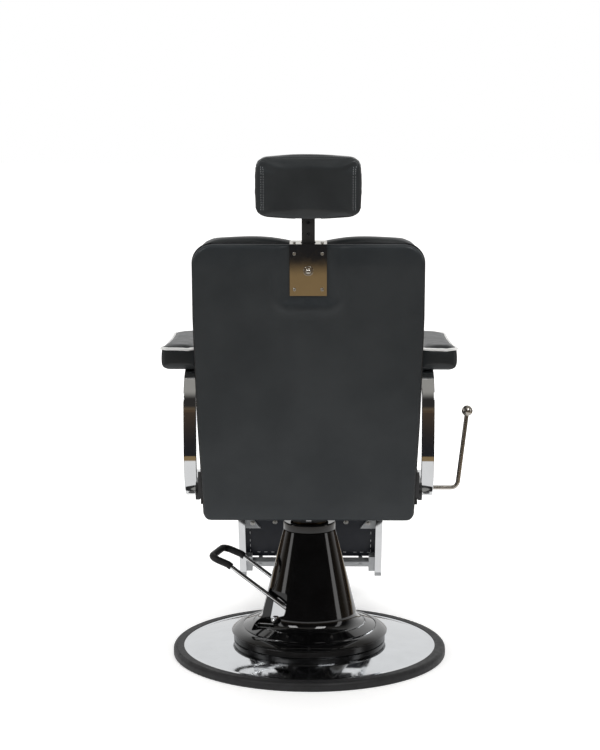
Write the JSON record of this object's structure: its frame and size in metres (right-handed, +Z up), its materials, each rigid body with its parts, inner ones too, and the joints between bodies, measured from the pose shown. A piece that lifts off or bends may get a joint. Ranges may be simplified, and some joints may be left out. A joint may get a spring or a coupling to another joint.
{
  "type": "hydraulic barber chair",
  "caption": "Hydraulic barber chair with padded seat, reclining back, linked leg rest, adjustable headrest, chrome arms and round chrome base.",
  "frame": {"origin": "centre of the round base on the floor", "axes": "+Z up, the chair faces -Y, so the sitter's left is +X"},
  "size_m": [0.7119, 1.1044, 1.1998],
  "materials": {
    "rubber_edge": "matt dark grey",
    "rubber_grip": "ribbed matt black",
    "rubber_mat": "ribbed matt black",
    "iron": "painted dark casting",
    "chrome": "mirror polished",
    "gloss_black": "high gloss black paint",
    "black_ring": "moulded black",
    "steel": "bare machined steel",
    "bolt_steel": "zinc plated",
    "frame_paint": "satin black paint",
    "grey_paint": "silver-grey paint",
    "bronze": "plain bearing bronze",
    "plywood": "raw plywood",
    "vinyl": "fine-grain black imitation leather",
    "padded_vinyl": "foam under fine-grain black imitation leather",
    "cast_aluminium": "satin casting",
    "shell_black": "high gloss black moulding",
    "black_plastic": "moulded black",
    "nickel": "satin nickel",
    "cylinder_black": "black enamel"
  },
  "bodies": {
    "base": {"base_ring": "rubber_edge", "base_plate": "iron", "base_disc": "chrome", "skirt_ring": "black_ring", "skirt": "shell_black", "pump_body": "iron", "pump_bolts": "bolt_steel", "pump_gland": "bronze", "plunger_spring": "steel"},
    "pump_lever": {"lever_frame": "chrome", "lever_grip": "rubber_grip", "lever_shaft": "chrome", "lever_rocker": "steel"},
    "plunger": {"pump_plunger": "steel"},
    "ram": {"ram": "steel", "swivel_collar": "gloss_black", "thrust_washer": "bronze"},
    "seat": {"seat_mount": "iron", "seat_frame": "frame_paint", "frame_screws": "bolt_steel", "side_plates": "frame_paint", "recline_bushes": "bronze", "leg_shaft": "steel", "arm_bands": "chrome", "arm_plugs": "black_plastic", "armrest_boards": "plywood", "armrest_left": "padded_vinyl", "armrest_right": "padded_vinyl", "seat_board": "plywood", "seat_cushion": "padded_vinyl", "gas_spring_cylinder": "cylinder_black"},
    "recline_handle": {"release_cam": "steel", "recline_lever": "nickel", "lever_ball": "nickel"},
    "button": {"release_button": "steel"},
    "gas_rod": {"gas_spring_rod": "steel"},
    "back": {"recline_shaft": "steel", "back_hinge": "frame_paint", "back_board": "plywood", "back_cushion": "padded_vinyl", "back_panel": "vinyl", "headrest_bracket": "chrome", "bracket_screws": "bolt_steel", "lock_screw": "nickel", "post_guide": "frame_paint"},
    "links": {"link_bars": "frame_paint"},
    "headrest_slider": {"headrest_post": "frame_paint"},
    "headrest": {"headrest_hinge": "frame_paint", "headrest_board": "plywood", "headrest_pad": "padded_vinyl", "headrest_back": "padded_vinyl"},
    "leg_rest": {"leg_arms": "chrome", "leg_caps": "grey_paint", "leg_brackets": "grey_paint", "leg_bolts": "bolt_steel", "calf_board": "vinyl", "calf_pad": "padded_vinyl", "foot_crossbar": "grey_paint"},
    "foot_flap": {"footplate": "cast_aluminium", "footplate_mat": "rubber_mat"}
  },
  "joints": [
    {"name": "pump_lever_hinge", "type": "hinge", "parent": "base", "child": "pump_lever", "pos_m": [0.06857, -0.01722, 0.085], "axis": [0.2436, 0.9699, 0], "range_deg": [0, 28], "stiffness_Nm_per_rad": 4, "springref_deg": -34.38},
    {"name": "plunger_slide", "type": "slide", "parent": "base", "child": "plunger", "axis": [0, 0, -1], "range_m": [0, 0.0128], "deforming": ["plunger_spring"]},
    {"name": "ram_lift", "type": "slide", "parent": "base", "child": "ram", "axis": [0, 0, 1], "range_m": [0, 0.15]},
    {"name": "seat_swivel", "type": "hinge", "parent": "ram", "child": "seat", "pos_m": [0, 0, 0.35], "axis": [0, 0, 1], "continuous": true},
    {"name": "recline_hinge", "type": "hinge", "parent": "seat", "child": "back", "pos_m": [0, 0.235, 0.44], "axis": [-1, 0, 0], "range_deg": [0, 45]},
    {"name": "gas_rod_slide", "type": "slide", "parent": "seat", "child": "gas_rod", "axis": [0, -1, 0], "range_m": [0, 0.0432]},
    {"name": "link_hinge", "type": "hinge", "parent": "back", "child": "links", "pos_m": [0, 0.25655, 0.38799], "axis": [-1, 0, 0], "range_deg": [-45, 0]},
    {"name": "leg_rest_hinge", "type": "hinge", "parent": "seat", "child": "leg_rest", "pos_m": [0, -0.245, 0.408], "axis": [-1, 0, 0], "range_deg": [0, 45]},
    {"name": "footplate_hinge", "type": "hinge", "parent": "leg_rest", "child": "foot_flap", "pos_m": [0, -0.48948, 0.15655], "axis": [-1, 0, 0], "range_deg": [0, 90]},
    {"name": "headrest_slide", "type": "slide", "parent": "back", "child": "headrest_slider", "axis": [0, 0.2079, 0.9781], "range_m": [-0.026, 0.078]},
    {"name": "headrest_tilt", "type": "hinge", "parent": "headrest_slider", "child": "headrest", "pos_m": [0, 0.43719, 1.07516], "axis": [-1, 0, 0], "range_deg": [-15, 15]},
    {"name": "recline_lever_hinge", "type": "hinge", "parent": "seat", "child": "recline_handle", "pos_m": [0, 0.121, 0.4255], "axis": [-1, 0, 0], "range_deg": [0, 25], "stiffness_Nm_per_rad": 1.2, "springref_deg": -20.05},
    {"name": "button_slide", "type": "slide", "parent": "seat", "child": "button", "axis": [0, 0, -1], "range_m": [0, 0.0044]}
  ],
  "couplings": [
    {"joint": "plunger_slide", "follows": "pump_lever_hinge", "m_per_rad": 0.026039},
    {"joint": "gas_rod_slide", "follows": "recline_hinge", "m_per_rad": 0.054864},
    {"joint": "link_hinge", "follows": "recline_hinge", "ratio": -1},
    {"joint": "leg_rest_hinge", "follows": "recline_hinge", "ratio": 1},
    {"joint": "button_slide", "follows": "recline_lever_hinge", "m_per_rad": 0.009921}
  ]
}
